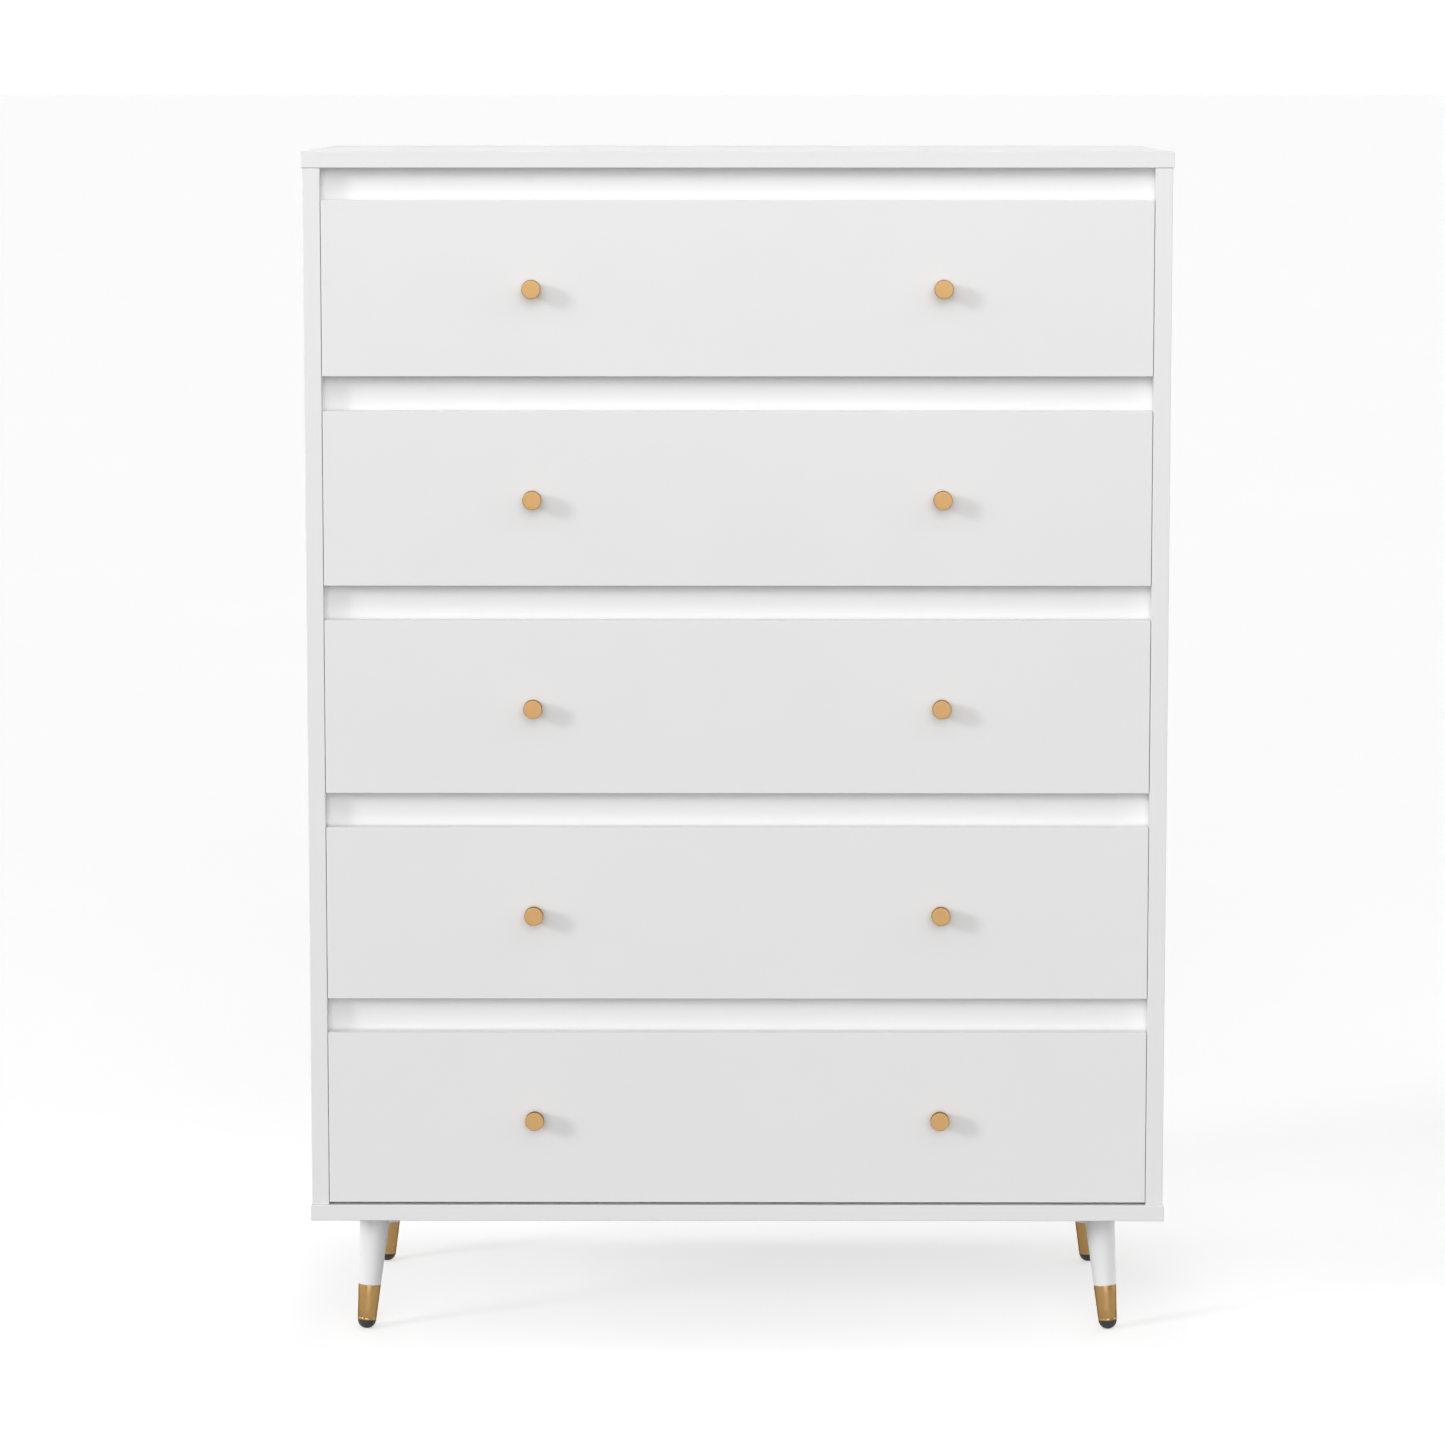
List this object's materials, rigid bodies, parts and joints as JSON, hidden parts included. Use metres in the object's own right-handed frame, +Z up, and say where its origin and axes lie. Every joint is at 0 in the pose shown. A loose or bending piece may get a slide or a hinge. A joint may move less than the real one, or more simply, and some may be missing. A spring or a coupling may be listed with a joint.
{
  "type": "tall chest of drawers",
  "caption": "Tall white chest of drawers with small round brass knobs, recessed rails between the fronts and splayed legs with brass tips.",
  "frame": {"origin": "on the floor, under the middle of the whole object's width and depth", "axes": "+X to the right seen from the front, +Y to the rear so the drawers open towards -Y, +Z up"},
  "size_m": [0.8, 0.4188, 1.1135],
  "materials": {
    "white_board": "white satin lacquered board",
    "white_sheet": "white coated hardboard",
    "white_leg": "white satin lacquered solid wood",
    "brass": "satin brass",
    "foot_black": "matt black",
    "steel": "zinc plated"
  },
  "bodies": {
    "carcass": {"top_panel": "white_board", "bottom_panel": "white_board", "side_panel_left": "white_board", "side_panel_right": "white_board", "back_panel": "white_sheet", "anti_tip_brackets": "steel", "leg_front_left": "white_leg", "leg_front_right": "white_leg", "leg_rear_left": "white_leg", "leg_rear_right": "white_leg", "leg_ferrules": "brass", "leg_feet": "foot_black", "leg_plates": "steel", "slide_outer_members": "steel", "carcass_fasteners": "steel", "front_rail_1": "white_board", "front_rail_2": "white_board", "front_rail_3": "white_board", "front_rail_4": "white_board", "front_rail_5": "white_board"},
    "drawer_1": {"drawer_1_front": "white_board", "drawer_1_side_left": "white_board", "drawer_1_side_right": "white_board", "drawer_1_back": "white_board", "drawer_1_bottom": "white_sheet", "drawer_1_knobs": "brass", "drawer_1_slide_inner": "steel"},
    "slide_middle_1": {"drawer_1_slide_middle": "steel"},
    "drawer_2": {"drawer_2_front": "white_board", "drawer_2_side_left": "white_board", "drawer_2_side_right": "white_board", "drawer_2_back": "white_board", "drawer_2_bottom": "white_sheet", "drawer_2_knobs": "brass", "drawer_2_slide_inner": "steel"},
    "slide_middle_2": {"drawer_2_slide_middle": "steel"},
    "drawer_3": {"drawer_3_front": "white_board", "drawer_3_side_left": "white_board", "drawer_3_side_right": "white_board", "drawer_3_back": "white_board", "drawer_3_bottom": "white_sheet", "drawer_3_knobs": "brass", "drawer_3_slide_inner": "steel"},
    "slide_middle_3": {"drawer_3_slide_middle": "steel"},
    "drawer_4": {"drawer_4_front": "white_board", "drawer_4_side_left": "white_board", "drawer_4_side_right": "white_board", "drawer_4_back": "white_board", "drawer_4_bottom": "white_sheet", "drawer_4_knobs": "brass", "drawer_4_slide_inner": "steel"},
    "slide_middle_4": {"drawer_4_slide_middle": "steel"},
    "drawer_5": {"drawer_5_front": "white_board", "drawer_5_side_left": "white_board", "drawer_5_side_right": "white_board", "drawer_5_back": "white_board", "drawer_5_bottom": "white_sheet", "drawer_5_knobs": "brass", "drawer_5_slide_inner": "steel"},
    "slide_middle_5": {"drawer_5_slide_middle": "steel"}
  },
  "joints": [
    {"name": "drawer_1_slide", "type": "slide", "parent": "carcass", "child": "drawer_1", "axis": [0, -1, 0], "range_m": [0, 0.33]},
    {"name": "slide_middle_1_slide", "type": "slide", "parent": "carcass", "child": "slide_middle_1", "axis": [0, -1, 0], "range_m": [0, 0.165]},
    {"name": "drawer_2_slide", "type": "slide", "parent": "carcass", "child": "drawer_2", "axis": [0, -1, 0], "range_m": [0, 0.33]},
    {"name": "slide_middle_2_slide", "type": "slide", "parent": "carcass", "child": "slide_middle_2", "axis": [0, -1, 0], "range_m": [0, 0.165]},
    {"name": "drawer_3_slide", "type": "slide", "parent": "carcass", "child": "drawer_3", "axis": [0, -1, 0], "range_m": [0, 0.33]},
    {"name": "slide_middle_3_slide", "type": "slide", "parent": "carcass", "child": "slide_middle_3", "axis": [0, -1, 0], "range_m": [0, 0.165]},
    {"name": "drawer_4_slide", "type": "slide", "parent": "carcass", "child": "drawer_4", "axis": [0, -1, 0], "range_m": [0, 0.33]},
    {"name": "slide_middle_4_slide", "type": "slide", "parent": "carcass", "child": "slide_middle_4", "axis": [0, -1, 0], "range_m": [0, 0.165]},
    {"name": "drawer_5_slide", "type": "slide", "parent": "carcass", "child": "drawer_5", "axis": [0, -1, 0], "range_m": [0, 0.33]},
    {"name": "slide_middle_5_slide", "type": "slide", "parent": "carcass", "child": "slide_middle_5", "axis": [0, -1, 0], "range_m": [0, 0.165]}
  ],
  "couplings": [
    {"joint": "slide_middle_1_slide", "follows": "drawer_1_slide", "ratio": 0.5},
    {"joint": "slide_middle_2_slide", "follows": "drawer_2_slide", "ratio": 0.5},
    {"joint": "slide_middle_3_slide", "follows": "drawer_3_slide", "ratio": 0.5},
    {"joint": "slide_middle_4_slide", "follows": "drawer_4_slide", "ratio": 0.5},
    {"joint": "slide_middle_5_slide", "follows": "drawer_5_slide", "ratio": 0.5}
  ]
}
